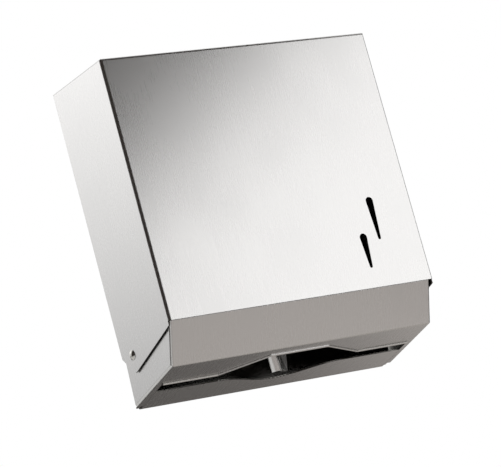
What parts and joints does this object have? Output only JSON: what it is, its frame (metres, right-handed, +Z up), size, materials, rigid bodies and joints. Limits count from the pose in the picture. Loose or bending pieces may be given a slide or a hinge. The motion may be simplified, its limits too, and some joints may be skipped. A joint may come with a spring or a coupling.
{
  "type": "folded paper dispenser",
  "caption": "Wall-hung stainless steel dispenser for folded toilet paper or towels: a box cover with tapered sight slots swings forward over a sloping nose with a shaped bottom slot.",
  "frame": {"origin": "centre of the four wall holes, on the rear face of the back plate", "axes": "+Z up, +Y into the wall, +X to the right as seen by a user in front"},
  "size_m": [0.2794, 0.1, 0.2874],
  "materials": {
    "satin_steel": "satin",
    "rivet_steel": "plain",
    "plated_steel": "zinc plated",
    "lock_metal": "nickel plated",
    "nylon": "moulded",
    "rubber": "moulded"
  },
  "bodies": {
    "housing": {"back_plate": "satin_steel", "nose_tray": "satin_steel", "hinge_pin_left": "rivet_steel", "hinge_pin_right": "rivet_steel", "hinge_washer_left": "rivet_steel", "hinge_washer_right": "rivet_steel", "paper_tongue": "satin_steel", "tongue_rivets": "rivet_steel", "lock_keeper": "plated_steel", "keeper_rivets": "rivet_steel", "buffer_left": "rubber", "buffer_right": "rubber"},
    "cover": {"front_cover": "satin_steel", "hinge_bush_left": "nylon", "hinge_bush_right": "nylon", "lock_barrel": "lock_metal", "lock_washer": "plated_steel", "lock_nut": "plated_steel"},
    "lock": {"lock_plug": "lock_metal", "lock_cam": "plated_steel", "cam_screw": "plated_steel"}
  },
  "joints": [
    {"name": "cover_swing", "type": "hinge", "parent": "housing", "child": "cover", "pos_m": [0, -0.0282, -0.1264], "axis": [1, 0, 0], "range_deg": [0, 90]},
    {"name": "lock_turn", "type": "hinge", "parent": "cover", "child": "lock", "pos_m": [0, -0.03, 0.116], "axis": [0, 0, -1], "range_deg": [0, 90]}
  ]
}
